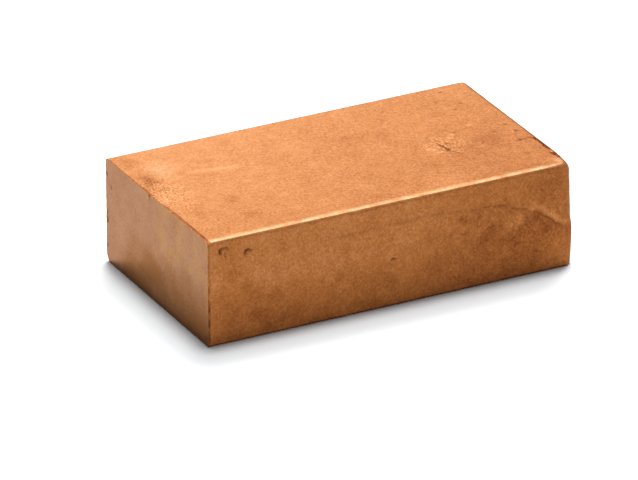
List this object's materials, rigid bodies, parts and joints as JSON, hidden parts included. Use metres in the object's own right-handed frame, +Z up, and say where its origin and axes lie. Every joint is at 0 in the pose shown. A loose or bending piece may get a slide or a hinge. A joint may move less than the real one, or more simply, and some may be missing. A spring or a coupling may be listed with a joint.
{
  "type": "bronze block",
  "caption": "Short length of flat cast bronze bar, sawn square at one end and left as cast at the other, as raw stock for machining or remelting.",
  "frame": {"origin": "middle of the block's underside, on the surface it lies on", "axes": "+X along the length from the sawn end to the cast end, +Y across the width from the face with the cold shut to the plain one, +Z up through the thickness"},
  "size_m": [0.091, 0.05, 0.025],
  "materials": {
    "bronze": "as-cast skin with a fine grain and a satin sheen, and one smoother sawn end"
  },
  "bodies": {
    "root": {"bronze_block": "bronze"}
  },
  "joints": []
}
